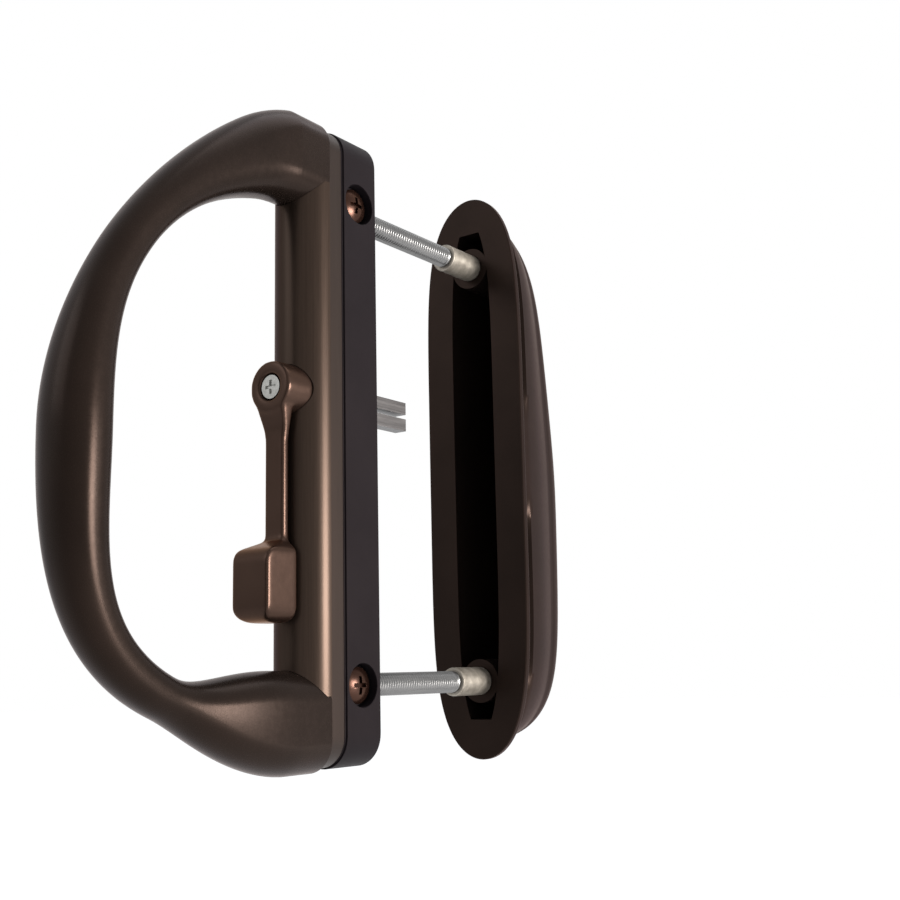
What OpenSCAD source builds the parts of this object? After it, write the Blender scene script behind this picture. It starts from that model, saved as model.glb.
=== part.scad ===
// Handle set for a sliding patio door: inside D pull with a thumb lever, outside finger pull.
// Frame: +Z up, +Y from the room to the outdoors. The door's inside face is the plane y = 0,
// and the origin is midway between the two through studs, on that face.

/* [Door] */
// Thickness of the door stile between the two halves
door_t = 44.5; // [38:0.5:50]
// Distance between the two through studs
stud_pitch = 100; // [96:0.5:104]

/* [Base rail] */
// Distance from each stud to the end of the base rail
rail_end = 16; // [15.5:0.1:18]
// Width of the base rail, which is also the diameter of the round column
base_w = 13; // [12.6:0.1:14]
// Height of the base rail off the door
base_h = 10.6; // [10:0.1:12]
// Break along the front edge of the base rail
base_edge = 0.4; // [0.2:0.1:0.6]
// Thickness of the spacer plate between rail and grip
plate_t = 4; // [3:0.1:5]
// How far the spacer plate stands back from the rail's outline
plate_inset = 0.3; // [0.2:0.05:0.5]

/* [D grip] */
// How far the centre line of the bow stands off the door at its belly
grip_reach = 70.9; // [66:0.1:76]
// How far the belly sits below the middle of the handle
belly_drop = 6.5; // [4:0.5:12]
// Half height of the knuckle where the bow meets the plate
knuckle_half = 9.8; // [9.4:0.1:10.2]
// Distance from the end of the rail to the knuckle's centre line
knuckle_end = 9.3; // [9:0.1:10]
// Half thickness of the slim necks of the bow, in the plane of the bow
neck_half = 3.9; // [3.5:0.1:5]
// Half width of the slim necks of the bow, across the bow
neck_side = 4.4; // [4:0.1:5.6]
// Half thickness of the belly of the bow, in the plane of the bow
belly_half = 5.3; // [5:0.1:6.5]
// Half width of the belly of the bow, across the bow
belly_side = 6.4; // [5.5:0.1:6.6]
// Place of the upper neck, as a share of the way from the knuckle to the belly
upper_neck = 0.69; // [0.5:0.01:0.75]
// Place of the lower neck, as a share of the way from the knuckle to the belly
lower_neck = 0.26; // [0.22:0.01:0.5]

/* [Fasteners] */
// Diameter of the through studs between their shoulders
stud_d = 4.8; // [4.2:0.1:5]
// Step of the studs' shoulders, all round
stud_step = 0.3; // [0.2:0.05:0.4]
// Depth of the stud sockets in the base rail
stud_socket = 9.6; // [8.5:0.1:9.8]
// Diameter of the clamp screws that hold the studs from the side
clamp_d = 4; // [3:0.1:4.4]
// Diameter of the clamp screw heads
clamp_head_d = 7.2; // [6:0.1:7.6]
// Height of the clamp screw heads
clamp_head_h = 2; // [1.4:0.1:2.2]
// Diameter of the recess round each clamp screw
clamp_recess_d = 8.6; // [8:0.1:9]
// Depth of the recess round each clamp screw
clamp_recess = 2.6; // [2.2:0.1:3]
// Diameter of the screws that hold the grip from behind
grip_screw_d = 4; // [3:0.1:4.2]
// Diameter of the grip screw heads
grip_head_d = 6.6; // [6:0.1:7]
// Height of the grip screw heads
grip_head_h = 2.4; // [2:0.1:3]
// How far the grip screws reach into the knuckles
grip_screw_bite = 7; // [5:0.5:9]

/* [Thumb lever] */
// Height of the lever's axis above the middle of the handle
lever_z = 8; // [4:0.5:10]
// Diameter of the lever's hub
hub_d = 10.4; // [9.8:0.1:10.6]
// Length of the lever's hub
hub_len = 7.2; // [6:0.1:9]
// Distance from the lever's axis to the tip of the thumb pad
lever_len = 46; // [40:0.5:48]
// Thickness of the lever's arm
arm_t = 1.9; // [1.5:0.1:2.5]
// Width of the lever's arm at its narrow end
arm_w = 5; // [4:0.1:6]
// Length of the thumb pad
pad_len = 15.8; // [12:0.2:18]
// Depth of the thumb pad, from the back of the arm
pad_depth = 8.3; // [6:0.1:10]
// Width of the thumb pad
pad_w = 9.4; // [8:0.1:11]
// Length of the lever's round collar
collar_len = 1.7; // [1.2:0.1:2]
// Height of the tailpiece bar
tail_h = 6.4; // [5:0.1:6.6]
// Thickness of the tailpiece bar
tail_t = 3; // [2:0.1:3.4]
// How far the tailpiece reaches into the door
tail_reach = 16; // [12:0.5:24]
// Length of the slit in the end of the tailpiece
tail_slit = 10; // [6:0.5:12]

/* [Outside pull] */
// Length of the outside pull's flange
flange_len = 135.6; // [130:0.5:140]
// Width of the outside pull's flange
flange_w = 27; // [24:0.5:30]
// Thickness of the outside pull's flange at its edge
flange_t = 1.8; // [1.5:0.1:2.5]
// Height of the pull's crown at its middle
crown_h = 28.4; // [25:0.2:32]
// Fall of the crown towards its upper end, in each millimetre
crown_rise = 0.15; // [0.1:0.01:0.18]
// Fall of the crown towards its lower end, in each millimetre
crown_fall = 0.04; // [0:0.01:0.1]
// Width of the pull's body where it leaves the flange
root_w = 22; // [20:0.5:23.4]
// Width of the pull's body near its crown
crown_w = 16; // [14:0.5:18]
// Depth of the finger coves in the sides of the pull
cove = 2.8; // [1:0.1:3.2]
// Height of the ridge over each finger cove
ridge_h = 7; // [5:0.5:9]
// Half length of each finger cove
cove_half = 24; // [18:0.5:26]
// Wall thickness of the pull
wall = 2.2; // [1.8:0.1:2.8]
// Diameter of the round posts
post_d = 6.4; // [6.2:0.1:7]
// How far the posts stand out of the pull's flange
post_proud = 11; // [8:0.5:14]
// Diameter of the bosses that carry the posts
boss_d = 10; // [9:0.2:11]

/* [Hidden] */

bronze = [0.21, 0.16, 0.14];
bronze_light = [0.36, 0.28, 0.24];
steel = [0.62, 0.60, 0.57];
zinc = [0.60, 0.57, 0.52];
nylon = [0.85, 0.84, 0.80];

round_fn = 64;
// Clearance of a turning or sliding fit, all round
fit = 0.05;
// Clearance between faces that only lie side by side
gap = 0.1;
// Overrun of a cut past the face it opens
over = 1;

stud_z = stud_pitch / 2;
stud_end_d = stud_d - 2 * stud_step;
base_len = stud_pitch + 2 * rail_end;
base_r = base_w / 2;
plate_y = -base_h;
grip_y = -base_h - plate_t;
crown_y = grip_y - base_r;
knuckle_z = base_len / 2 - knuckle_end;
// The grip screws stand this far beyond the studs
grip_screw_step = 8.6;
knuckle_screw_z = stud_z + grip_screw_step;
// The column's tips stop short of the round end of the knuckle
column_tip = 1.5;
column_end = knuckle_z - (knuckle_half - base_r) - column_tip;
column_fn = 96;
// Length of the knuckle's straight start off the plate, past the column's crown
knuckle_run = 8;

grip_head_y = -(grip_head_h + 0.6);
clamp_y = -base_h / 2;

// The hub stands in a flat-bottomed pocket of the round column, at its lowest this deep
hub_pocket_least = 0.2;
hub_pocket_d = hub_d + 4 * fit;
hub_pocket_sag = base_r - sqrt(base_r * base_r - hub_pocket_d * hub_pocket_d / 4);
hub_seat_y = crown_y + hub_pocket_sag + hub_pocket_least;
hub_y = hub_seat_y - gap;
collar_d = hub_d - 0.9;
collar_y = hub_seat_y + collar_len;
bush_d = collar_d + 2 * fit;
tail_sweep = sqrt(tail_h * tail_h + tail_t * tail_t);
bush_bore = tail_sweep + 6 * fit;
cavity_d = bush_d + 1.2;
washer_t = 0.5;
clip_t = 0.7;
clip_y = plate_y + washer_t + fit;
clip_d = bush_d;
notch = 0.6;
tail_socket = hub_len - 2.2;
// Distance from the free end of the hub to the back of the arm
arm_back_depth = 3.2;
hub_edge = 0.3;
arm_back_y = hub_y - hub_len + arm_back_depth;
arm_top_w = hub_d - 1.6;
screw_head_d = 4.8;
screw_head_h = 0.9;
screw_recess = 1.3;
screw_d = 2;
// How far the lever's screw reaches into the tailpiece
screw_reach = 3;
slit_w = 1;
// Cross recesses of the screw heads
cross_w = 0.8;
small_cross_w = 0.6;
cross_depth = 1;
// The studs stop this short of the bottom of their sockets in the rail
stud_play = 0.4;
// Roundings of the lever, seen from the room and from the side
arm_round = 3;
pad_neck_round = 1.5;
pad_neck = 2;
pad_round = 2.8;
heel_round = 4;
back_round = 1.2;

pull_y = door_t;
flange_edge = 0.5;
flange_sides = 72;
// The body starts inside the flange and ends short of the flange's tips
pull_foot = flange_t / 2;
body_end = flange_len / 2 - 3.8;
body_cap = 0.05;
body_steps = 30;
hollow_end = body_end - wall - 3;
hollow_steps = 16;
crown_blend = 10;
crown_power = 2.4;
crown_steps = 6;
ridge_share = 0.4;
shoulder_share = 0.62;
side_steps = 3;
side_swell = 0.5;
cove_steps = 7;
cove_mid = flange_len / 4 - 1;
cove_shift = 2.5;
cove_fade = 12;
foot_fillet = 1.4;
post_y = pull_y - post_proud;
// The posts seat on a cone and their slimmer roots sit in the pull's bosses
post_root = 8;
post_step = 0.6;
post_root_d = post_d - 2 * post_step;
post_socket = post_proud / 2 - 0.5;

function smooth(x) = let (c = max(0, min(1, x))) c * c * (3 - 2 * c);
function mix(a, b, x) = a + (b - a) * x;
function bezier(p, t) = pow(1 - t, 3) * p[0] + 3 * pow(1 - t, 2) * t * p[1]
                      + 3 * (1 - t) * t * t * p[2] + pow(t, 3) * p[3];
// One coordinate of a rounded oval: 2 is an ellipse, higher is squarer
function oval(c, power) = sign(c) * pow(abs(c), 2 / power);
// Outline through the corners [x, y, radius], each corner rounded to its own radius
function rounded(corners, steps = 6) =
    let (n = len(corners))
    [for (i = [0:n - 1])
        let (c = corners[i],
             p = [c[0], c[1]],
             before = corners[(i + n - 1) % n],
             after = corners[(i + 1) % n],
             u = [before[0], before[1]] - p,
             v = [after[0], after[1]] - p,
             ua = u / norm(u),
             va = v / norm(v),
             half = acos(ua * va) / 2,
             centre = p + (ua + va) / norm(ua + va) * c[2] / sin(half),
             start = p + ua * c[2] / tan(half) - centre,
             turn = (ua[0] * va[1] - ua[1] * va[0] > 0 ? -1 : 1) * (180 - 2 * half))
        each c[2] == 0 ? [p] : [for (k = [0:steps]) let (a = turn * k / steps)
            centre + [start[0] * cos(a) - start[1] * sin(a), start[0] * sin(a) + start[1] * cos(a)]]];

// How the bow leaves its knuckles and its belly: control points of its two curves
upper_pull = 0.34;
upper_slope = 0;
upper_stretch = 48.6;
lower_pull = 1;
lower_slope = 2.8;
lower_stretch = 26.7;
// Centre line of the bow, [y, z], for s from 0 at the upper knuckle to 2 at the lower one
upper_arm = [[grip_y - knuckle_run, knuckle_z], [-upper_pull * grip_reach, knuckle_z - upper_slope],
             [-grip_reach, upper_stretch - belly_drop], [-grip_reach, -belly_drop]];
lower_arm = [[-grip_reach, -belly_drop], [-grip_reach, -belly_drop - lower_stretch],
             [-lower_pull * grip_reach, lower_slope - knuckle_z], [grip_y - knuckle_run, -knuckle_z]];
function bow_centre(s) = s < 1 ? bezier(upper_arm, s) : bezier(lower_arm, s - 1);
tangent_step = 0.01;
function bow_tangent(s) =
    let (d = bow_centre(min(2, s + tangent_step)) - bow_centre(max(0, s - tangent_step)))
    d / norm(d);
// Direction of a section's outer side: level at the knuckles, square to the centre line beyond
function bow_across(s) =
    let (t = bow_tangent(s), d = mix([0, s < 1 ? 1 : -1], [t[1], -t[0]], smooth(4 * min(s, 2 - s))))
    d / norm(d);
// Fullness of the bow at s: knuckle at 0, then a neck, belly at 1, and the same again below
function bow_size(knuckle, neck, belly, s) =
    let (u = s < 1 ? s : 2 - s, at = s < 1 ? upper_neck : lower_neck)
    u < at ? mix(knuckle, neck, smooth(u / at))
           : mix(neck, belly, smooth(pow((u - at) / (1 - at), neck_hold)));

// How long the slot shape of the knuckles is kept along the bow
slot_hold = 0.08;
// How long the bow stays slim after a neck
neck_hold = 1.3;
// Squareness of the bow's section, on its outer side and on the side towards the door
outer_power = 2.2;
inner_power = 2.7;
bow_sides = 28;
bow_steps = 40;
// Section of the bow: a slot shape at the knuckles (blend 0), an oval elsewhere (blend 1)
function bow_point(a, half, side, blend) =
    let (flank = max(0, half - side) * sign(round(1000 * sin(a))),
         slot = [side * cos(a), flank + min(half, side) * sin(a)],
         power = sin(a) > 0 ? outer_power : inner_power)
    mix(slot, [side * oval(cos(a), power), half * oval(sin(a), power)], blend);
function bow_ring(centre, across, half, side, blend) =
    [for (i = [0:bow_sides - 1])
        let (q = bow_point(360 * i / bow_sides, half, side, blend))
        [q[0], centre[0] + across[0] * q[1], centre[1] + across[1] * q[1]]];
function knuckle_ring(y, z, flip) = bow_ring([y, z], [0, flip], knuckle_half, base_r, 0);
bow_rings = concat(
    [knuckle_ring(grip_y, knuckle_z, 1)],
    [for (k = [0:bow_steps]) let (s = 2 * k / bow_steps)
        bow_ring(bow_centre(s), bow_across(s),
                 bow_size(knuckle_half, neck_half, belly_half, s),
                 bow_size(base_r, neck_side, belly_side, s),
                 smooth(3 * (min(s, 2 - s) - slot_hold)))],
    [knuckle_ring(grip_y, -knuckle_z, -1)]);

// Skin of a solid made of closed rings with as many points each, capped at both ends
module skin(rings) {
    n = len(rings[0]);
    m = len(rings);
    polyhedron(
        points = [for (r = rings) each r],
        faces = concat(
            [[for (i = [0:n - 1]) i]],
            [for (k = [0:m - 2], i = [0:n - 1])
                [k * n + i, (k + 1) * n + i, (k + 1) * n + (i + 1) % n]],
            [for (k = [0:m - 2], i = [0:n - 1])
                [k * n + i, (k + 1) * n + (i + 1) % n, k * n + (i + 1) % n]],
            [[for (i = [n - 1:-1:0]) (m - 1) * n + i]]),
        convexity = 6);
}

// Cylinder along +Y from y0 to y1 at x = 0 and height z
module along_y(d, y0, y1, z = 0) {
    translate([0, y0, z]) rotate([-90, 0, 0]) cylinder(h = y1 - y0, d = d, $fn = round_fn);
}

// Cone along +Y from diameter d0 at y0 to d1 at y1
module cone_y(d0, d1, y0, y1, z) {
    translate([0, y0, z]) rotate([-90, 0, 0]) cylinder(h = y1 - y0, d1 = d0, d2 = d1, $fn = round_fn);
}

// Flat shape in x and z, pushed from y0 to y1
module slab(y0, y1) {
    translate([0, y1, 0]) rotate([90, 0, 0]) linear_extrude(height = y1 - y0) children();
}

module rail_outline(inset = 0) {
    r = base_r - inset;
    z = base_len / 2 - base_r;
    square([2 * r, 2 * z], center = true);
    for (s = [-1, 1]) translate([0, s * z]) circle(r = r, $fn = round_fn);
}

module base_rail() {
    color(bronze) difference() {
        union() {
            slab(plate_y + base_edge, 0) rail_outline();
            slab(plate_y, 0) rail_outline(base_edge);
        }
        along_y(cavity_d, plate_y - over, over, lever_z);
        for (s = [-1, 1]) {
            along_y(stud_end_d + 2 * fit, -stud_socket, over, s * stud_z);
            along_y(stud_d + 2 * fit, 0, over, s * stud_z);
            cone_y(stud_end_d + 2 * fit, stud_d + 2 * fit, -stud_step, 0, s * stud_z);
            along_y(grip_screw_d + 2 * fit, plate_y - over, over, s * knuckle_screw_z);
            along_y(grip_head_d + 2 * gap, grip_head_y, over, s * knuckle_screw_z);
            translate([0, clamp_y, s * stud_z]) rotate([0, 90, 0]) {
                cylinder(h = base_r + over, d = clamp_d + 2 * fit, $fn = round_fn);
                translate([0, 0, base_r - clamp_recess])
                    cylinder(h = clamp_recess + over, d = clamp_recess_d, $fn = round_fn);
            }
        }
    }
}

module spacer_plate() {
    color(bronze) difference() {
        slab(grip_y, plate_y) rail_outline(plate_inset);
        along_y(bush_d, grip_y - over, plate_y + over, lever_z);
        for (s = [-1, 1])
            along_y(grip_screw_d + 2 * fit, grip_y - over, plate_y + over, s * knuckle_screw_z);
    }
}

// Slot shape of the knuckle where it stands on the plate
module knuckle_outline(extra) {
    r = base_r + extra;
    z = knuckle_half - base_r;
    square([2 * r, 2 * z], center = true);
    for (s = [-1, 1]) translate([0, s * z]) circle(r = r, $fn = round_fn);
}

// Half disc with its flat side on the plate
module column_section() {
    intersection() {
        circle(r = base_r, $fn = column_fn);
        translate([-base_r, -base_w]) square([base_w, base_w]);
    }
}

module grip_column() {
    color(bronze_light) difference() {
        translate([0, grip_y, -column_end]) linear_extrude(height = 2 * column_end) column_section();
        for (s = [-1, 1])
            translate([0, 0, s * knuckle_z]) slab(crown_y - over, grip_y + over) knuckle_outline(fit);
        along_y(hub_pocket_d, crown_y - over, hub_seat_y, lever_z);
        along_y(bush_d, crown_y - over, grip_y + over, lever_z);
    }
}

module grip_bow() {
    color(bronze) difference() {
        skin(bow_rings);
        for (s = [-1, 1])
            along_y(grip_screw_d, grip_y - grip_screw_bite, grip_y + over, s * knuckle_screw_z);
    }
}

module grip_screw(s) {
    color(steel) difference() {
        union() {
            along_y(grip_screw_d, grip_y - grip_screw_bite + 1, grip_head_y, s * knuckle_screw_z);
            along_y(grip_head_d, grip_head_y, grip_head_y + grip_head_h, s * knuckle_screw_z);
        }
        cross_slot(s);
    }
}

// Cross recess in the head of a grip screw
module cross_slot(s) {
    for (a = [0, 90]) translate([0, grip_head_y + grip_head_h, s * knuckle_screw_z]) rotate([0, a, 0])
        cube([grip_head_d - 3, 2 * cross_depth, cross_w], center = true);
}

module upper_grip_screw() { grip_screw(1); }
module lower_grip_screw() { grip_screw(-1); }

// Screw that runs in from the side until its tip bears on the stud
module clamp_screw(s) {
    seat = base_r - clamp_recess;
    color([0.38, 0.24, 0.17]) translate([0, clamp_y, s * stud_z]) rotate([0, 90, 0]) difference() {
        union() {
            translate([0, 0, stud_end_d / 2])
                cylinder(h = seat - stud_end_d / 2, d = clamp_d, $fn = round_fn);
            intersection() {
                translate([0, 0, seat]) cylinder(h = clamp_head_h, d = clamp_head_d, $fn = round_fn);
                translate([0, 0, seat + clamp_head_h - clamp_head_d]) sphere(r = clamp_head_d, $fn = round_fn);
            }
        }
        for (a = [0, 90]) rotate([0, 0, a]) translate([0, 0, seat + clamp_head_h])
            cube([clamp_head_d - 3.6, cross_w, 2 * cross_depth], center = true);
    }
}

module upper_clamp_screw() { clamp_screw(1); }
module lower_clamp_screw() { clamp_screw(-1); }

// Stud with a cone that seats in the rail, a flat shoulder on the post, and slimmer ends
module door_stud(s) {
    color(steel) union() {
        along_y(stud_d, 0, post_y, s * stud_z);
        cone_y(stud_end_d, stud_d, -stud_step, 0, s * stud_z);
        along_y(stud_end_d, -stud_socket + stud_play, post_y + post_socket, s * stud_z);
    }
}

module upper_door_stud() { door_stud(1); }
module lower_door_stud() { door_stud(-1); }

module lever_bush() {
    color(nylon) difference() {
        along_y(bush_d, collar_y + gap, plate_y, lever_z);
        along_y(bush_bore, crown_y, over, lever_z);
    }
}

module lever_washer() {
    color(steel) difference() {
        along_y(clip_d, plate_y, plate_y + washer_t, lever_z);
        along_y(bush_bore, plate_y - over, over, lever_z);
    }
}

// Lever seen from the room, in x and z: wide at the hub, narrow arm, wide thumb pad
module lever_front() {
    half = [[arm_top_w / 2, 0, 0],
            [arm_w / 2, -hub_d, arm_round],
            [arm_w / 2, pad_len - lever_len, pad_neck_round],
            [pad_w / 2, pad_len - lever_len - pad_neck, pad_neck_round],
            [pad_w / 2, -lever_len, arm_round]];
    polygon(rounded(concat([for (c = half) [-c[0], c[1], c[2]]],
                           [for (i = [len(half) - 1:-1:0]) half[i]])));
}

// Lever seen from the side, as distance from the back of the arm and height
module lever_side() {
    polygon(rounded([
        [0, 0, 0],
        [arm_back_depth - hub_edge, 0, 0],
        [arm_back_depth - hub_edge, -hub_d / 2 + 2 * hub_edge, 1],
        [arm_t, -hub_d / 2 - arm_round, heel_round],
        [arm_t, pad_len - lever_len, back_round],
        [pad_depth, pad_len - lever_len - 1.2 * pad_neck, arm_round],
        [pad_depth, -lever_len, pad_round],
        [0, -lever_len, back_round]]));
}

module thumb_lever() {
    color(bronze) translate([0, 0, lever_z]) difference() {
        union() {
            along_y(hub_d, hub_y - hub_len, hub_y);
            along_y(collar_d, hub_y - over, collar_y);
            intersection() {
                slab(arm_back_y - pad_depth - 1, arm_back_y + 1) lever_front();
                translate([-pad_w, arm_back_y, 0]) rotate([90, 0, 90])
                    linear_extrude(height = 2 * pad_w) mirror([1, 0]) lever_side();
            }
        }
        translate([-tail_t / 2, hub_y - tail_socket, -tail_h / 2])
            cube([tail_t, collar_y + over - hub_y + tail_socket, tail_h]);
        along_y(screw_head_d + 6 * gap, hub_y - hub_len - over, hub_y - hub_len + screw_recess);
        along_y(screw_d + 2 * fit, hub_y - hub_len, hub_y - tail_socket + over);
    }
}

module lever_screw() {
    y0 = hub_y - hub_len + screw_recess;
    color(steel) translate([0, 0, lever_z]) difference() {
        union() {
            along_y(screw_head_d, y0 - screw_head_h, y0);
            along_y(screw_d, y0 - screw_head_h / 2, hub_y - tail_socket + screw_reach);
        }
        for (a = [0, 90]) translate([0, y0 - screw_head_h, 0]) rotate([0, a, 0])
            cube([screw_head_d - 2, cross_w, small_cross_w], center = true);
    }
}

module latch_tail() {
    y0 = hub_y - tail_socket;
    color(steel) translate([0, 0, lever_z]) difference() {
        translate([-tail_t / 2, y0, -tail_h / 2]) cube([tail_t, tail_reach - y0, tail_h]);
        along_y(screw_d, y0 - over, y0 + screw_reach + over);
        translate([-tail_t, tail_reach - tail_slit, -slit_w / 2])
            cube([2 * tail_t, tail_slit + over, slit_w]);
        for (s = [-1, 1])
            translate([-tail_t, clip_y, s * tail_h / 2 - notch]) cube([2 * tail_t, clip_t, 2 * notch]);
    }
}

module lever_clip() {
    color(steel) translate([0, 0, lever_z]) difference() {
        along_y(clip_d, clip_y, clip_y + clip_t);
        translate([-tail_t / 2, clip_y - over, -tail_h / 2 + notch])
            cube([clip_d, clip_t + 2 * over, tail_h - 2 * notch]);
    }
}

// Crown of the outside pull over the door's outside face, z measured from its middle
crown_mean = (crown_rise + crown_fall) / 2;
crown_lean = (crown_rise - crown_fall) / 2;
function crown_line(z) =
    crown_h - crown_mean * (sqrt(z * z + crown_blend * crown_blend) - crown_blend) - crown_lean * z;
// How the body closes towards its ends, in height and in plan
function end_height(z) = pow(1 - pow(abs(z) / body_end, 8), 0.45);
function end_width(z) = pow(1 - pow(abs(z) / body_end, 6), 0.5);
// Share of the full finger cove at height z: one above the middle and one below
function cove_at(z) = smooth((cove_half - abs(abs(z - cove_shift) - cove_mid)) / cove_fade);
// Sizes of the section at height z: crown, ridge, shoulder, half width at the foot and shoulder
function body_sizes(z) =
    let (crown = crown_line(z) * end_height(z),
         ridge = min(ridge_h, mix(pull_foot, crown, ridge_share)),
         root = root_w / 2 * end_width(z))
    [crown, ridge, mix(ridge, crown, shoulder_share), root,
     mix(root, crown_w / 2 * end_width(z), smooth(crown / ridge_h - 0.5))];

// Half section of the body at height z: cove under the ridge, side, then over the crown
function body_half(z) =
    let (size = body_sizes(z), crown = size[0], ridge = size[1], edge = size[2],
         root = size[3], shoulder = size[4])
    concat(
        [for (i = [0:cove_steps]) let (t = i / cove_steps)
            [root + foot_fillet * end_width(z) * pow(1 - t, 3) - cove * cove_at(z) * sin(180 * t),
             mix(pull_foot, ridge, t)]],
        [for (i = [1:side_steps]) let (t = i / side_steps)
            [mix(root, shoulder, t) + side_swell * end_width(z) * sin(180 * t), mix(ridge, edge, t)]],
        crown_arc(shoulder, edge, crown));
// Half section of the hollow, with straight sides that let the core draw out
function hollow_half(z) =
    let (size = body_sizes(z), half_w = size[4] - wall)
    concat([[half_w, -over], [half_w, size[2]]], crown_arc(half_w, size[2], size[0] - wall));
function crown_arc(half_w, low, high) =
    [for (i = [1:crown_steps]) let (a = 90 * i / crown_steps)
        [half_w * oval(cos(a), crown_power), mix(low, high, oval(sin(a), crown_power))]];
function both_sides(half, z) =
    let (n = len(half))
    concat([for (i = [0:n - 1]) [half[i][0], pull_y + half[i][1], z]],
           [for (i = [n - 2:-1:0]) [-half[i][0], pull_y + half[i][1], z]]);
// Stations bunch towards the ends, where the form turns fastest
function station(k, steps, half_len) = half_len * sin(90 * (2 * k / steps - 1));

// Outline of the flange: broad, with round ends
module flange_outline(inset) {
    polygon([for (i = [0:flange_sides - 1]) let (a = 360 * i / flange_sides)
        [(flange_w / 2 - inset) * cos(a), (flange_len / 2 - inset) * oval(sin(a), 6)]]);
}

module pull_body() {
    skin([for (k = [0:body_steps]) let (z = station(k, body_steps, body_end - body_cap))
        both_sides(body_half(z), z)]);
}

module pull_hollow() {
    skin([for (k = [0:hollow_steps]) let (z = station(k, hollow_steps, hollow_end))
        both_sides(hollow_half(z), z)]);
}

module outside_pull() {
    color(bronze) difference() {
        union() {
            slab(pull_y, pull_y + flange_t - flange_edge) flange_outline(0);
            slab(pull_y, pull_y + flange_t) flange_outline(flange_edge);
            pull_body();
        }
        difference() {
            pull_hollow();
            for (s = [-1, 1]) along_y(boss_d, pull_y - 2 * over, pull_y + crown_h, s * stud_z);
        }
        for (s = [-1, 1]) {
            along_y(post_root_d, pull_y - over, pull_y + post_root, s * stud_z);
            along_y(post_d + 2 * fit, pull_y - over, pull_y, s * stud_z);
            cone_y(post_d + 2 * fit, post_root_d, pull_y, pull_y + post_step + fit, s * stud_z);
        }
    }
}

module pull_post(s) {
    color(zinc) difference() {
        union() {
            along_y(post_d, post_y, pull_y, s * stud_z);
            cone_y(post_d, post_root_d, pull_y, pull_y + post_step, s * stud_z);
            along_y(post_root_d, pull_y - over, pull_y + post_root, s * stud_z);
        }
        along_y(stud_end_d, post_y - over, post_y + post_socket, s * stud_z);
    }
}

module upper_pull_post() { pull_post(1); }
module lower_pull_post() { pull_post(-1); }

grip_bow();
grip_column();
spacer_plate();
base_rail();
upper_grip_screw();
lower_grip_screw();
upper_clamp_screw();
lower_clamp_screw();
upper_door_stud();
lower_door_stud();
lever_bush();
lever_washer();
thumb_lever();
lever_screw();
latch_tail();
lever_clip();
outside_pull();
upper_pull_post();
lower_pull_post();
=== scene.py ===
import math

import bmesh
import bpy
import numpy as np
from mathutils import Matrix, Vector

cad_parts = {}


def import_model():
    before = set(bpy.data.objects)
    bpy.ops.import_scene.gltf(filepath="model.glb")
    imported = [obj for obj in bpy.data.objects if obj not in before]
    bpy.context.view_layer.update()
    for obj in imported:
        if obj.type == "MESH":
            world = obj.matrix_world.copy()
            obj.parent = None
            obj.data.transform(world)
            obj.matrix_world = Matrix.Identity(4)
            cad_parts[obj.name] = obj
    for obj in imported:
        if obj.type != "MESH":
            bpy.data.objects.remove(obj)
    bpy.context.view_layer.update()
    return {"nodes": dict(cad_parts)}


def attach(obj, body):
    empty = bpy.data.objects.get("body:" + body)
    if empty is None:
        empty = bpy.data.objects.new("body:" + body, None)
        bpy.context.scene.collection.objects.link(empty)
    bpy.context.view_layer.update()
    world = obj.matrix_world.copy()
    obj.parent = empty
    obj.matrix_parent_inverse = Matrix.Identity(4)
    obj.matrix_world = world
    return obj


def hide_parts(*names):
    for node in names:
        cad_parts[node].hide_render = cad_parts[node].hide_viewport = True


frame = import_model()
MM = 0.001

# Driving sizes of the bow, in millimetres, as in its solid
BASE_R = 6.5
GRIP_Y = -14.6
KNUCKLE_Z, KNUCKLE_HALF, KNUCKLE_RUN, SLOT_HOLD = 56.7, 9.8, 8.0, 0.08
GRIP_REACH, BELLY_DROP = 70.9, 6.5
NECK_HALF, NECK_SIDE = 3.9, 4.4
BELLY_HALF, BELLY_SIDE = 5.3, 6.4
UPPER_NECK, LOWER_NECK, NECK_HOLD = 0.69, 0.26, 1.3
OUTER_POWER, INNER_POWER = 2.2, 2.7
UPPER_PULL, UPPER_SLOPE, UPPER_STRETCH = 0.34, 0.0, 48.6
LOWER_PULL, LOWER_SLOPE, LOWER_STRETCH = 1.0, 2.8, 26.7

# Driving sizes of the outside pull, and where its posts stand
PULL_Y = 44.5
STUD_Z = 50.0
FLANGE_LEN, FLANGE_W, FLANGE_T = 135.6, 27.0, 1.8
CROWN_H, CROWN_RISE, CROWN_FALL, CROWN_BLEND, CROWN_POWER = 28.4, 0.15, 0.04, 10.0, 2.4
ROOT_W, CROWN_W, WALL = 22.0, 16.0, 2.2
COVE, RIDGE_H, COVE_HALF, COVE_SHIFT, COVE_FADE = 2.8, 7.0, 24.0, 2.5, 12.0
RIDGE_SHARE, SHOULDER_SHARE, SIDE_SWELL, FOOT_FILLET = 0.4, 0.62, 0.5, 1.4
BODY_SETBACK, HOLLOW_SETBACK, BODY_CAP, COVE_INSET = 3.8, 3.0, 0.05, 1.0
BODY_END = FLANGE_LEN / 2 - BODY_SETBACK
HOLLOW_END = BODY_END - WALL - HOLLOW_SETBACK
BOSS_R, POST_R, POST_ROOT_R, POST_ROOT, POST_STEP, FIT = 5.0, 3.2, 2.6, 8.0, 0.6, 0.05
# Roundness of the flange's outline, and how many sections the body and its hollow are lofted through
FLANGE_POWER = 6
BODY_STATIONS, HOLLOW_STATIONS = 110, 60
# How far a cutting piece runs past the face that it opens
OVER = 1.0

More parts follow.
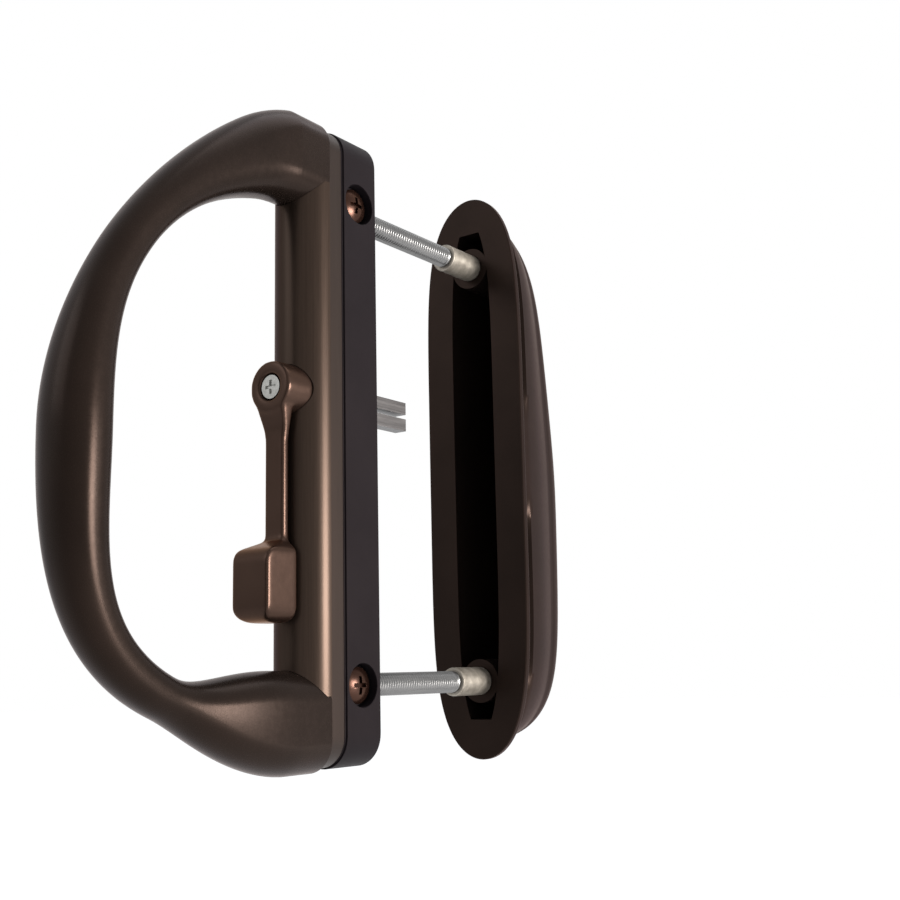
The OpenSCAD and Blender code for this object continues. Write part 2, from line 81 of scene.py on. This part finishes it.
# Driving sizes of the through studs and of their threads
STUD_R, STUD_END_R, STUD_STEP = 2.4, 2.1, 0.3
STUD_START, STUD_SHOULDER, STUD_END, STUD_BREAK = -9.2, 33.5, 38.5, 0.3
THREAD_PITCH, THREAD_DEPTH, THREAD_RUNOUT = 0.8, 0.3, 1.6

# Mesh size of the thumb lever and how many rounds of smoothing round its edges
LEVER_VOXEL, LEVER_ROUNDS = 0.2, 55

# Points of a solid's mesh this close, in metres, are joined, and faces this flat, in degrees, are one face
WELD, FLAT = 2e-6, 0.6


# Small helpers for shapes

def mix(a, b, x):
    return a + (b - a) * x


def smooth(x):
    c = max(0.0, min(1.0, x))
    return c * c * (3 - 2 * c)


def bezier(p, t):
    weights = ((1 - t) ** 3, 3 * (1 - t) ** 2 * t, 3 * (1 - t) * t * t, t ** 3)
    return sum((w * np.array(q, float) for w, q in zip(weights, p)), np.zeros(2))


def oval(c, power):
    return math.copysign(abs(c) ** (2 / power), c)


def sign(c):
    return 0.0 if abs(c) < 1e-9 else math.copysign(1.0, c)


def link(name, mesh):
    piece = bpy.data.objects.new(name, mesh)
    bpy.context.scene.collection.objects.link(piece)
    return piece


def skin(name, rings):
    """A closed solid from closed rings with as many points each, in millimetres."""
    count = len(rings[0])
    points = [tuple(MM * c for c in p) for ring in rings for p in ring]
    faces = [tuple(range(count))]
    for k in range(len(rings) - 1):
        low, high = k * count, (k + 1) * count
        for i in range(count):
            j = (i + 1) % count
            faces.append((low + i, high + i, high + j, low + j))
    last = (len(rings) - 1) * count
    faces.append(tuple(last + i for i in reversed(range(count))))
    mesh = bpy.data.meshes.new(name)
    mesh.from_pydata(points, [], faces)
    bm = bmesh.new()
    bm.from_mesh(mesh)
    bmesh.ops.recalc_face_normals(bm, faces=bm.faces)
    bm.to_mesh(mesh)
    bm.free()
    return link(name, mesh)


def shade(piece, angle):
    """Smooth shading with creases kept sharp."""
    bm = bmesh.new()
    bm.from_mesh(piece.data)
    limit = math.radians(angle)
    for face in bm.faces:
        face.smooth = True
    for edge in bm.edges:
        edge.smooth = not edge.is_manifold or edge.calc_face_angle(0) < limit
    bm.to_mesh(piece.data)
    bm.free()


def softened(node, width, segments=3, angle=28):
    """A copy of a solid's mesh with its coplanar faces joined and its edges rounded."""
    source = frame["nodes"][node]
    mesh = source.data.copy()
    mesh.name = node + "_soft"
    if "custom_normal" in mesh.attributes:
        mesh.attributes.remove(mesh.attributes["custom_normal"])
    bm = bmesh.new()
    bm.from_mesh(mesh)
    bmesh.ops.remove_doubles(bm, verts=bm.verts, dist=WELD)
    bmesh.ops.dissolve_limit(bm, angle_limit=math.radians(FLAT), verts=bm.verts, edges=bm.edges)
    for face in bm.faces:
        face.smooth = True
    bm.to_mesh(mesh)
    bm.free()
    mesh.materials.clear()
    piece = link(node + "_soft", mesh)
    bevel = piece.modifiers.new("rounding", "BEVEL")
    bevel.width = width * MM
    bevel.segments = segments
    bevel.limit_method = "ANGLE"
    bevel.angle_limit = math.radians(angle)
    bevel.use_clamp_overlap = True
    normals = piece.modifiers.new("normals", "WEIGHTED_NORMAL")
    normals.keep_sharp = True
    return piece


def place(piece, body, material, slot, *nodes):
    piece.data.materials.clear()
    piece.data.materials.append(material)
    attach(piece, body)
    if nodes:
        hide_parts(*nodes)


# Node materials

def new_material(name):
    material = bpy.data.materials.new(name)
    material.use_nodes = True
    tree = material.node_tree
    tree.nodes.clear()
    output = tree.nodes.new("ShaderNodeOutputMaterial")
    shader = tree.nodes.new("ShaderNodeBsdfPrincipled")
    tree.links.new(shader.outputs[0], output.inputs[0])
    return material, tree, shader


def noise(tree, scale, detail=4.0, stretch=(1, 1, 1), roughness=0.55):
    coords = tree.nodes.new("ShaderNodeTexCoord")
    mapping = tree.nodes.new("ShaderNodeMapping")
    mapping.inputs["Scale"].default_value = stretch
    texture = tree.nodes.new("ShaderNodeTexNoise")
    texture.inputs["Scale"].default_value = scale
    texture.inputs["Detail"].default_value = detail
    texture.inputs["Roughness"].default_value = roughness
    tree.links.new(coords.outputs["Object"], mapping.inputs[0])
    tree.links.new(mapping.outputs[0], texture.inputs["Vector"])
    return texture.outputs["Fac"]


def ramp(tree, source, stops):
    node = tree.nodes.new("ShaderNodeValToRGB")
    elements = node.color_ramp.elements
    while len(elements) < len(stops):
        elements.new(0.5)
    for element, (place_at, colour) in zip(elements, stops):
        element.position = place_at
        element.color = (*colour, 1)
    tree.links.new(source, node.inputs[0])
    return node.outputs[0]


def spread(tree, source, low, high):
    node = tree.nodes.new("ShaderNodeMapRange")
    node.inputs["To Min"].default_value = low
    node.inputs["To Max"].default_value = high
    tree.links.new(source, node.inputs["Value"])
    return node.outputs[0]


def bump(tree, shader, source, strength, distance, below=None):
    node = tree.nodes.new("ShaderNodeBump")
    node.inputs["Strength"].default_value = strength
    node.inputs["Distance"].default_value = distance
    tree.links.new(source, node.inputs["Height"])
    if below is not None:
        tree.links.new(below, node.inputs["Normal"])
    tree.links.new(node.outputs[0], shader.inputs["Normal"])
    return node.outputs[0]


def flake_paint(name, dark, light, metallic, rough, tint, gloss=0.3, grain=0.25):
    """Bronze paint with a fine metallic flake, faint cloudiness and orange peel."""
    material, tree, shader = new_material(name)
    colour = ramp(tree, noise(tree, 55, 3), ((0.3, dark), (0.72, light)))
    tree.links.new(colour, shader.inputs["Base Color"])
    shader.inputs["Metallic"].default_value = metallic
    shader.inputs["Specular IOR Level"].default_value = gloss
    shader.inputs["Specular Tint"].default_value = (*tint, 1)
    roughness = spread(tree, noise(tree, 900, 2), rough - 0.04, rough + 0.06)
    tree.links.new(roughness, shader.inputs["Roughness"])
    peel = bump(tree, shader, noise(tree, 420, 2), grain, 0.00003)
    bump(tree, shader, noise(tree, 5200, 2), grain, 0.00001, peel)
    return material


def brushed(name, dark, light, metallic, rough, grain=0.3, along=(60, 60, 1.2), tint=(1, 1, 1)):
    """Metal drawn or ground along one direction, with fine lines."""
    material, tree, shader = new_material(name)
    lines = noise(tree, 45, 6, along, 0.7)
    colour = ramp(tree, lines, ((0.25, dark), (0.75, light)))
    tree.links.new(colour, shader.inputs["Base Color"])
    shader.inputs["Metallic"].default_value = metallic
    shader.inputs["Specular IOR Level"].default_value = 0.3
    shader.inputs["Specular Tint"].default_value = (*tint, 1)
    tree.links.new(spread(tree, lines, rough - 0.05, rough + 0.07), shader.inputs["Roughness"])
    bump(tree, shader, lines, grain, 0.00002)
    return material


def cast_zinc(name):
    """Rough die-cast zinc with pits and a dull cloudy skin."""
    material, tree, shader = new_material(name)
    colour = ramp(tree, noise(tree, 480, 5), ((0.3, (0.16, 0.14, 0.115)), (0.7, (0.32, 0.29, 0.245))))
    tree.links.new(colour, shader.inputs["Base Color"])
    shader.inputs["Metallic"].default_value = 0.6
    tree.links.new(spread(tree, noise(tree, 1500, 3), 0.38, 0.6), shader.inputs["Roughness"])
    bump(tree, shader, noise(tree, 1400, 5), 0.7, 0.00012)
    return material


def nylon_plastic(name):
    material, tree, shader = new_material(name)
    colour = ramp(tree, noise(tree, 220, 3), ((0.3, (0.62, 0.61, 0.57)), (0.7, (0.72, 0.71, 0.67))))
    tree.links.new(colour, shader.inputs["Base Color"])
    shader.inputs["Roughness"].default_value = 0.5
    bump(tree, shader, noise(tree, 900, 3), 0.2, 0.00003)
    return material


COPPERY = (1.0, 0.70, 0.55)
DARK_COPPER = (0.50, 0.33, 0.26)
DEEP_COPPER = (0.42, 0.28, 0.21)

BRONZE = flake_paint("bronze_paint", (0.0095, 0.0066, 0.0054), (0.014, 0.0096, 0.0078),
                     0.3, 0.26, DARK_COPPER, 0.2)
# The rail's dark bronze colour has a purple cast added: a painted reflection of blue surroundings on its
# flat side wall
RAIL_PAINT_AND_BLUE_REFLECTION = flake_paint("bronze_rail_and_painted_blue_reflection", (0.008, 0.0066, 0.0078), (0.011, 0.009, 0.0104),
                   0.0, 0.5, DARK_COPPER, 0.05)
PULL = flake_paint("bronze_pull", (0.013, 0.0088, 0.0072), (0.018, 0.0118, 0.0096),
                   0.5, 0.32, DARK_COPPER, 0.12)
LEVER = flake_paint("bronze_lever", (0.028, 0.0165, 0.0125), (0.042, 0.025, 0.019),
                    0.75, 0.3, COPPERY, grain=0.12)
SCREW = flake_paint("copper_screw", (0.024, 0.011, 0.008), (0.036, 0.017, 0.012), 0.7, 0.24, COPPERY)
COLUMN = brushed("bronze_column", (0.026, 0.018, 0.014), (0.036, 0.025, 0.0195),
                 0.65, 0.31, 0.2, tint=DEEP_COPPER)
PLATE = brushed("bronze_plate", (0.009, 0.0066, 0.0056), (0.013, 0.0095, 0.008),
                0.1, 0.4, 0.2, tint=DARK_COPPER)
STEEL = brushed("steel", (0.13, 0.13, 0.13), (0.23, 0.227, 0.223), 0.95, 0.32, 0.4, (40, 2, 40))
TAIL = brushed("tail_steel", (0.045, 0.042, 0.042), (0.13, 0.122, 0.12), 0.9, 0.36, 0.6, (40, 1.5, 40))
ZINC_SCREW = brushed("zinc_screw", (0.24, 0.24, 0.225), (0.38, 0.375, 0.355), 0.95, 0.3, 0.2, (20, 20, 20))
ZINC = cast_zinc("cast_zinc")
NYLON = nylon_plastic("nylon")


# The bow

def bow_centre(s):
    start = (GRIP_Y - KNUCKLE_RUN, KNUCKLE_Z)
    belly = (-GRIP_REACH, -BELLY_DROP)
    if s < 1:
        curve = (start, (-UPPER_PULL * GRIP_REACH, KNUCKLE_Z - UPPER_SLOPE),
                 (-GRIP_REACH, UPPER_STRETCH - BELLY_DROP), belly)
        return bezier(curve, s)
    curve = (belly, (-GRIP_REACH, -BELLY_DROP - LOWER_STRETCH),
             (-LOWER_PULL * GRIP_REACH, LOWER_SLOPE - KNUCKLE_Z), (GRIP_Y - KNUCKLE_RUN, -KNUCKLE_Z))
    return bezier(curve, s - 1)


def bow_size(knuckle, neck, belly, s):
    u, at = (s, UPPER_NECK) if s < 1 else (2 - s, LOWER_NECK)
    if u < at:
        return mix(knuckle, neck, smooth(u / at))
    return mix(neck, belly, smooth(((u - at) / (1 - at)) ** NECK_HOLD))


def bow_across(s, step=0.01):
    """Direction of a section's outer side: level at the knuckles, square to the centre line beyond."""
    along = bow_centre(min(2, s + step)) - bow_centre(max(0, s - step))
    along /= np.linalg.norm(along)
    level = np.array((0.0, 1.0 if s < 1 else -1.0))
    across = mix(level, np.array((along[1], -along[0])), smooth(4 * min(s, 2 - s)))
    return across / np.linalg.norm(across)


def bow_ring(centre, across, half, side, blend, count=72):
    ring = []
    for i in range(count):
        a = 2 * math.pi * i / count
        flank = max(0.0, half - side) * sign(math.sin(a))
        slot = (side * math.cos(a), flank + min(half, side) * math.sin(a))
        power = OUTER_POWER if math.sin(a) > 0 else INNER_POWER
        round_ = (side * oval(math.cos(a), power), half * oval(math.sin(a), power))
        q = [mix(m, n, blend) for m, n in zip(slot, round_)]
        ring.append((q[0], centre[0] + across[0] * q[1], centre[1] + across[1] * q[1]))
    return ring


def grip_bow():
    steps = 180
    rings = [bow_ring((GRIP_Y, KNUCKLE_Z), (0, 1), KNUCKLE_HALF, BASE_R, 0)]
    for k in range(steps + 1):
        s = 2 * k / steps
        rings.append(bow_ring(bow_centre(s), bow_across(s),
                              bow_size(KNUCKLE_HALF, NECK_HALF, BELLY_HALF, s),
                              bow_size(BASE_R, NECK_SIDE, BELLY_SIDE, s),
                              smooth(3 * (min(s, 2 - s) - SLOT_HOLD))))
    rings.append(bow_ring((GRIP_Y, -KNUCKLE_Z), (0, -1), KNUCKLE_HALF, BASE_R, 0))
    bow = skin("grip_bow_cast", rings)
    shade(bow, angle=50)
    place(bow, "handle", BRONZE, "bronze_paint", "grip_bow")


# The outside pull

def crown_line(z):
    mean, lean = (CROWN_RISE + CROWN_FALL) / 2, (CROWN_RISE - CROWN_FALL) / 2
    return CROWN_H - mean * (math.hypot(z, CROWN_BLEND) - CROWN_BLEND) - lean * z


def end_height(z):
    return (1 - (abs(z) / BODY_END) ** 8) ** 0.45


def end_width(z):
    return (1 - (abs(z) / BODY_END) ** 6) ** 0.5


def cove_at(z):
    """Share of the full finger cove at height z: one above the middle and one below."""
    middle = FLANGE_LEN / 4 - COVE_INSET
    return smooth((COVE_HALF - abs(abs(z - COVE_SHIFT) - middle)) / COVE_FADE)


def body_sizes(z):
    """Crown, ridge and shoulder heights of the section at z, and its half widths at foot and shoulder."""
    foot = FLANGE_T / 2
    crown = crown_line(z) * end_height(z)
    ridge = min(RIDGE_H, mix(foot, crown, RIDGE_SHARE))
    root = ROOT_W / 2 * end_width(z)
    shoulder = mix(root, CROWN_W / 2 * end_width(z), smooth(crown / RIDGE_H - 0.5))
    return crown, ridge, mix(ridge, crown, SHOULDER_SHARE), root, shoulder


def crown_arc(half_w, low, high, steps=14):
    for i in range(1, steps + 1):
        a = 0.5 * math.pi * i / steps
        top = (i == steps)
        x = 0.0 if top else half_w * oval(math.cos(a), CROWN_POWER)
        yield x, mix(low, high, oval(math.sin(a), CROWN_POWER))


def body_half(z, cove_steps=18, side_steps=10):
    foot = FLANGE_T / 2
    crown, ridge, edge, root, shoulder = body_sizes(z)
    half = []
    for i in range(cove_steps + 1):
        t = i / cove_steps
        flare = FOOT_FILLET * end_width(z) * (1 - t) ** 3
        half.append((root + flare - COVE * cove_at(z) * math.sin(math.pi * t), mix(foot, ridge, t)))
    for i in range(1, side_steps + 1):
        t = i / side_steps
        swell = SIDE_SWELL * end_width(z) * math.sin(math.pi * t)
        half.append((mix(root, shoulder, t) + swell, mix(ridge, edge, t)))
    return half + list(crown_arc(shoulder, edge, crown))


def hollow_half(z):
    crown, _, edge, _, shoulder = body_sizes(z)
    half_w = shoulder - WALL
    return [(half_w, -OVER), (half_w, edge)] + list(crown_arc(half_w, edge, crown - WALL))


def both_sides(half, z):
    right = [(x, PULL_Y + y, z) for x, y in half]
    left = [(-x, PULL_Y + y, z) for x, y in half[-2::-1]]
    return right + left


def stations(steps, half_len):
    """Heights from end to end, closer together towards both ends."""
    return [half_len * math.sin(0.5 * math.pi * (2 * k / steps - 1)) for k in range(steps + 1)]


def flange_ring(inset, y, sides=128):
    ring = []
    for i in range(sides):
        a = 2 * math.pi * i / sides
        ring.append(((FLANGE_W / 2 - inset) * math.cos(a), PULL_Y + y,
                     (FLANGE_LEN / 2 - inset) * oval(math.sin(a), FLANGE_POWER)))
    return ring


def flange_rings(edge=0.6, foot=0.2, steps=5):
    """Rings of the flange, with a small broken edge at its foot and a rounded one in front."""
    rings = [flange_ring(foot, 0.0), flange_ring(0.0, foot)]
    for i in range(steps + 1):
        a = 0.5 * math.pi * i / steps
        rings.append(flange_ring(edge * (1 - math.cos(a)), FLANGE_T - edge + edge * math.sin(a)))
    return rings


def turned(name, profile, z, sides=64):
    """A closed round solid along Y at height z, from its profile of (y, radius) points."""
    rings = []
    for y, radius in profile:
        rings.append([(radius * math.cos(2 * math.pi * i / sides), y,
                       z + radius * math.sin(2 * math.pi * i / sides)) for i in range(sides)])
    return skin(name, rings)


def combine(target, operation, other):
    """Joins or cuts two closed meshes and leaves the result as the target's own mesh."""
    step = target.modifiers.new("combine", "BOOLEAN")
    step.operation = operation
    step.solver = "EXACT"
    step.object = other
    graph = bpy.context.evaluated_depsgraph_get()
    mesh = bpy.data.meshes.new_from_object(target.evaluated_get(graph))
    target.modifiers.clear()
    target.data = mesh
    bpy.data.objects.remove(other)


def outside_pull():
    pull = skin("outside_pull_cast", flange_rings())
    body_levels = stations(BODY_STATIONS, BODY_END - BODY_CAP)
    hollow_levels = stations(HOLLOW_STATIONS, HOLLOW_END)
    body = skin("pull_body", [both_sides(body_half(z), z) for z in body_levels])
    combine(pull, "UNION", body)
    hollow = skin("pull_hollow", [both_sides(hollow_half(z), z) for z in hollow_levels])
    boss = ((PULL_Y - 2 * OVER, BOSS_R), (PULL_Y + CROWN_H, BOSS_R))
    bore = ((PULL_Y - OVER, POST_R + FIT), (PULL_Y, POST_R + FIT), (PULL_Y + POST_STEP + FIT, POST_ROOT_R),
            (PULL_Y + POST_ROOT, POST_ROOT_R))
    for side in (-1, 1):
        combine(hollow, "DIFFERENCE", turned("boss", boss, side * STUD_Z))
    combine(pull, "DIFFERENCE", hollow)
    for side in (-1, 1):
        combine(pull, "DIFFERENCE", turned("bore", bore, side * STUD_Z))
    shade(pull, angle=32)
    place(pull, "handle", PULL, "bronze_pull", "outside_pull")


# The through studs, with their threads

def thread_cut(y, angle):
    """Depth of the thread groove at a place on the shank, fading out at both of its ends."""
    turn = (y / THREAD_PITCH - angle / (2 * math.pi)) % 1
    room = min(y, STUD_SHOULDER - y) / THREAD_RUNOUT
    return THREAD_DEPTH * smooth(room) * (0.5 + 0.5 * math.cos(2 * math.pi * turn))


def door_stud(node, z, sides=48, steps_a_pitch=8):
    """A stud with a cone at the rail, a threaded shank, a flat shoulder and slimmer plain ends."""
    def ring(y, radius, threaded):
        points = []
        for i in range(sides):
            a = 2 * math.pi * i / sides
            r = radius - (thread_cut(y, a) if threaded else 0)
            points.append((r * math.cos(a), y, z + r * math.sin(a)))
        return points

    broken = STUD_END_R - STUD_BREAK
    inner = ((STUD_START, broken), (STUD_START + STUD_BREAK, STUD_END_R), (-STUD_STEP, STUD_END_R))
    outer = ((STUD_SHOULDER, STUD_END_R), (STUD_END - STUD_BREAK, STUD_END_R), (STUD_END, broken))
    steps = round(STUD_SHOULDER / THREAD_PITCH * steps_a_pitch)
    rings = [ring(y, r, False) for y, r in inner]
    rings += [ring(STUD_SHOULDER * k / steps, STUD_R, True) for k in range(steps + 1)]
    rings += [ring(y, r, False) for y, r in outer]
    stud = skin(node + "_threaded", rings)
    shade(stud, angle=40)
    place(stud, "handle", STEEL, "steel", node)


# The thumb lever, whose solid is cast with every edge well rounded

def cast_rounded(node, voxel, rounds):
    """A copy of a solid's mesh, remeshed finely and smoothed until its edges are round."""
    mesh = frame["nodes"][node].data.copy()
    mesh.materials.clear()
    piece = link(node + "_cast", mesh)
    remesh = piece.modifiers.new("even", "REMESH")
    remesh.mode = "VOXEL"
    remesh.voxel_size = voxel * MM
    soften = piece.modifiers.new("soften", "SMOOTH")
    soften.factor = 0.5
    soften.iterations = rounds
    graph = bpy.context.evaluated_depsgraph_get()
    result = bpy.data.meshes.new_from_object(piece.evaluated_get(graph))
    piece.modifiers.clear()
    piece.data = result
    for polygon in result.polygons:
        polygon.use_smooth = True
    return piece


def thumb_lever():
    lever = cast_rounded("thumb_lever", LEVER_VOXEL, LEVER_ROUNDS)
    place(lever, "lever", LEVER, "bronze_lever", "thumb_lever")


# Pieces whose solids only need rounded edges and a finish

SOFTENED = (
    ("grip_column", 0.12, COLUMN, "bronze_anodised", "handle"),
    ("spacer_plate", 0.3, PLATE, "bronze_plate", "handle"),
    # The base rail's colour holds a painted blue reflection as a purple cast
    ("base_rail", 0.35, RAIL_PAINT_AND_BLUE_REFLECTION, "bronze_plate", "handle"),
    ("upper_clamp_screw", 0.15, SCREW, "copper_screw", "handle"),
    ("lower_clamp_screw", 0.15, SCREW, "copper_screw", "handle"),
    ("upper_grip_screw", 0.15, ZINC_SCREW, "zinc_screw", "handle"),
    ("lower_grip_screw", 0.15, ZINC_SCREW, "zinc_screw", "handle"),
    ("upper_pull_post", 0.4, ZINC, "cast_zinc", "handle"),
    ("lower_pull_post", 0.4, ZINC, "cast_zinc", "handle"),
    ("lever_bush", 0.1, NYLON, "nylon", "handle"),
    ("lever_washer", 0.08, STEEL, "steel", "handle"),
    ("lever_screw", 0.05, ZINC_SCREW, "zinc_screw", "lever"),
    ("latch_tail", 0.2, TAIL, "tail_steel", "lever"),
    ("lever_clip", 0.1, STEEL, "steel", "lever"),
)


def soften_solids():
    for node, width, material, slot, body in SOFTENED:
        place(softened(node, width), body, material, slot, node)


# Floor, world, lamps and camera

def background_rays(tree):
    """One for the rays that see the background: camera, glossy and transmission rays."""
    path = tree.nodes.new("ShaderNodeLightPath")
    seen = path.outputs["Is Camera Ray"]
    for name in ("Is Glossy Ray", "Is Transmission Ray"):
        node = tree.nodes.new("ShaderNodeMath")
        node.operation = "MAXIMUM"
        tree.links.new(seen, node.inputs[0])
        tree.links.new(path.outputs[name], node.inputs[1])
        seen = node.outputs[0]
    return seen


# Colour and strength of the even light from all round
SKY_COLOUR, SKY_STRENGTH = (0.93, 0.95, 1.0), 0.45


def world():
    w = bpy.data.worlds.new("studio")
    bpy.context.scene.world = w
    w.use_nodes = True
    tree = w.node_tree
    tree.nodes.clear()
    output = tree.nodes.new("ShaderNodeOutputWorld")
    light = tree.nodes.new("ShaderNodeBackground")
    light.inputs["Color"].default_value = (*SKY_COLOUR, 1)
    light.inputs["Strength"].default_value = SKY_STRENGTH
    white = tree.nodes.new("ShaderNodeBackground")
    white.inputs["Color"].default_value = (1, 1, 1, 1)
    white.inputs["Strength"].default_value = 1.0
    blend = tree.nodes.new("ShaderNodeMixShader")
    tree.links.new(background_rays(tree), blend.inputs[0])
    tree.links.new(light.outputs[0], blend.inputs[1])
    tree.links.new(white.outputs[0], blend.inputs[2])
    tree.links.new(blend.outputs[0], output.inputs[0])


# Height and half size of the floor, in metres, and how far its shade is lifted to white
FLOOR_Z, FLOOR_HALF = -0.22, 6.0
FLOOR_LIFT = 0.68


def floor():
    """A pale floor: its own shade keeps the shadow, and the rays that see it get it lifted to white."""
    mesh = bpy.data.meshes.new("floor")
    turns = ((-1, -1), (1, -1), (1, 1), (-1, 1))
    mesh.from_pydata([(FLOOR_HALF * x, FLOOR_HALF * y, FLOOR_Z) for x, y in turns], [], [(0, 1, 2, 3)])
    piece = link("floor", mesh)
    material, tree, shader = new_material("pale_floor")
    colour = ramp(tree, noise(tree, 3, 2), ((0.2, (0.80, 0.80, 0.80)), (0.8, (0.84, 0.84, 0.84))))
    tree.links.new(colour, shader.inputs["Base Color"])
    shader.inputs["Roughness"].default_value = 0.9
    shader.inputs["Specular IOR Level"].default_value = 0.0
    tree.links.new(background_rays(tree), shader.inputs["Emission Strength"])
    shader.inputs["Emission Color"].default_value = (FLOOR_LIFT, FLOOR_LIFT, FLOOR_LIFT, 1)
    piece.data.materials.append(material)


def lamp(name, azimuth, elevation, distance, size, watts, colour, target=(0, -0.01, 0)):
    """An area lamp. Azimuth 0 stands on the room's side of the handle, and 90 on its +X side."""
    data = bpy.data.lights.new(name, "AREA")
    data.shape = "RECTANGLE"
    data.size, data.size_y = size
    data.energy = watts
    data.color = colour
    piece = bpy.data.objects.new(name, data)
    a, e = math.radians(azimuth), math.radians(elevation)
    back = Vector((math.sin(a) * math.cos(e), -math.cos(a) * math.cos(e), math.sin(e)))
    piece.location = Vector(target) + back * distance
    piece.rotation_mode = "QUATERNION"
    piece.rotation_quaternion = (-back).to_track_quat("-Z", "Y")
    bpy.context.scene.collection.objects.link(piece)


# Name, azimuth, elevation, distance in metres, width and height in metres, watts and colour of each lamp
LAMPS = (
    ("key", 110, 1, 0.9, (0.30, 0.22), 15.0, (1.0, 0.97, 0.94)),
    ("front", -25, 30, 1.2, (0.7, 0.7), 3.0, (0.95, 0.97, 1.0)),
    ("top", 150, 65, 1.2, (0.7, 0.7), 3.0, (0.95, 0.97, 1.0)),
)


def lamps():
    for values in LAMPS:
        lamp(*values)


# Camera found from the rail, its side screws and the bow in the 900 by 900 photograph
CAMERA_AZIMUTH, CAMERA_ELEVATION, CAMERA_ROLL = 35.879, -10.139, -1.253
CAMERA_DISTANCE = 0.261252
CAMERA_SHIFT_MM = (-20.268, 1.277)
CAMERA_FOCAL_PX, PHOTO_PX, SENSOR_MM = 1238.13, 900, 36


def camera():
    a, e, roll = (math.radians(v) for v in (CAMERA_AZIMUTH, CAMERA_ELEVATION, CAMERA_ROLL))
    ahead = Vector((-math.sin(a) * math.cos(e), math.cos(a) * math.cos(e), -math.sin(e)))
    right = Vector((math.cos(a), math.sin(a), 0))
    up = right.cross(ahead)
    x_axis = right * math.cos(roll) + up * math.sin(roll)
    y_axis = up * math.cos(roll) - right * math.sin(roll)
    data = bpy.data.cameras.new("camera")
    data.sensor_width = SENSOR_MM
    data.lens = CAMERA_FOCAL_PX * SENSOR_MM / PHOTO_PX
    data.clip_start = 0.01
    piece = bpy.data.objects.new("camera", data)
    turn = Matrix((x_axis, y_axis, -ahead)).transposed()
    place_at = -ahead * CAMERA_DISTANCE - (x_axis * CAMERA_SHIFT_MM[0] + y_axis * CAMERA_SHIFT_MM[1]) * MM
    piece.matrix_world = Matrix.Translation(place_at) @ turn.to_4x4()
    bpy.context.scene.collection.objects.link(piece)
    bpy.context.scene.camera = piece


grip_bow()
soften_solids()
door_stud("upper_door_stud", STUD_Z)
door_stud("lower_door_stud", -STUD_Z)
thumb_lever()
outside_pull()
floor()
world()
lamps()
camera()
bpy.context.scene.view_settings.view_transform = "Standard"
